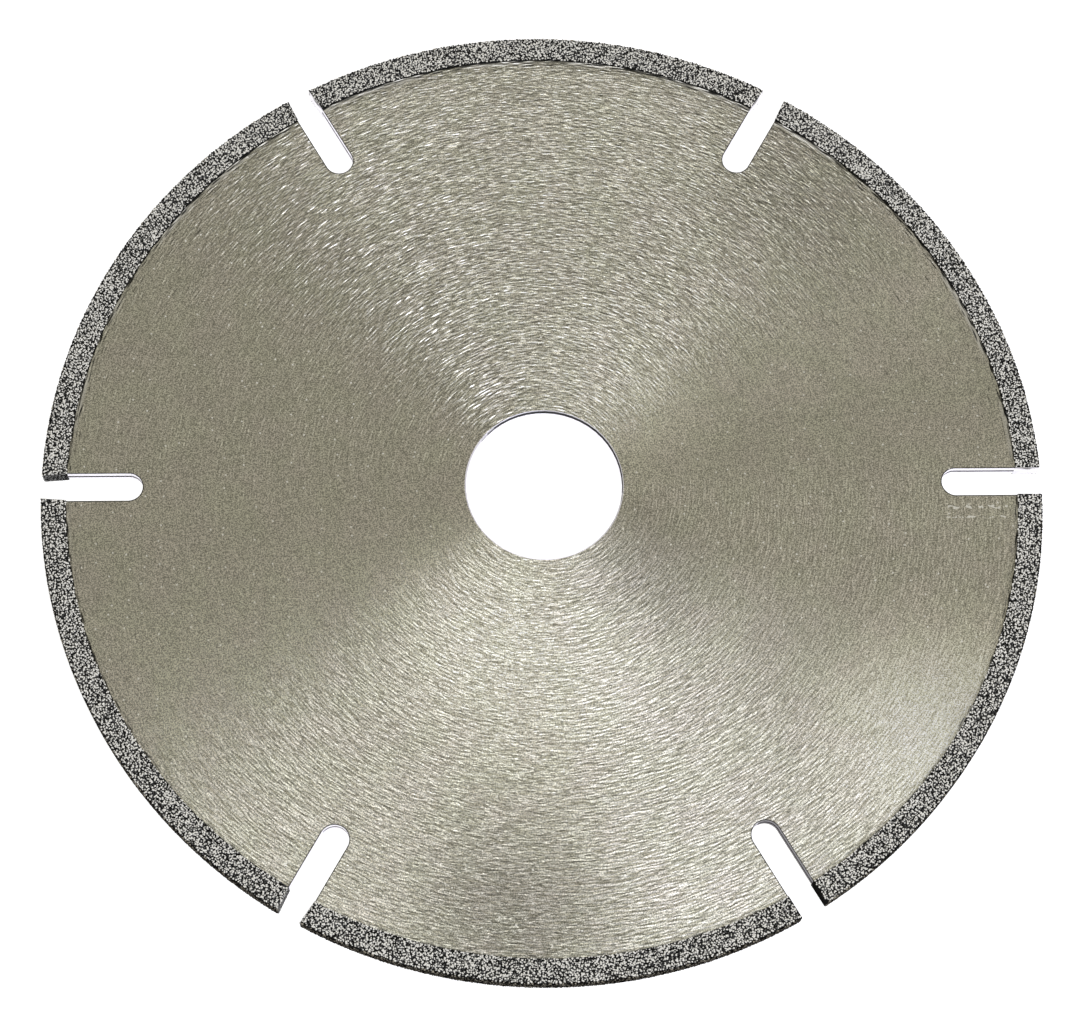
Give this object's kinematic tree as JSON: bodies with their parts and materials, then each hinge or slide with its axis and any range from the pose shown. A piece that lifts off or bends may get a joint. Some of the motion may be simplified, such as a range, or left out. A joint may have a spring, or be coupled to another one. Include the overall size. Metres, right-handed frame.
{
  "type": "diamond cut-off wheel",
  "caption": "Flat ground steel disc with a plain centre bore, radial slots open at the rim, and plated diamond grit along the rim, for cutting hard material.",
  "frame": {"origin": "centre of the bore, halfway through the wheel's thickness", "axes": "+Z along the bore and up, square to both faces; +X along the middle of the first slot; the wheel lies flat on the lower faces of its six coats"},
  "size_m": [0.1016, 0.1016, 0.0022],
  "materials": {
    "ground_steel": "circular ground, satin",
    "diamond_grit": "rough diamond grit in nickel plate"
  },
  "bodies": {
    "root": {"steel_core": "ground_steel", "diamond_coat_1": "diamond_grit", "diamond_coat_2": "diamond_grit", "diamond_coat_3": "diamond_grit", "diamond_coat_4": "diamond_grit", "diamond_coat_5": "diamond_grit", "diamond_coat_6": "diamond_grit"}
  },
  "joints": []
}
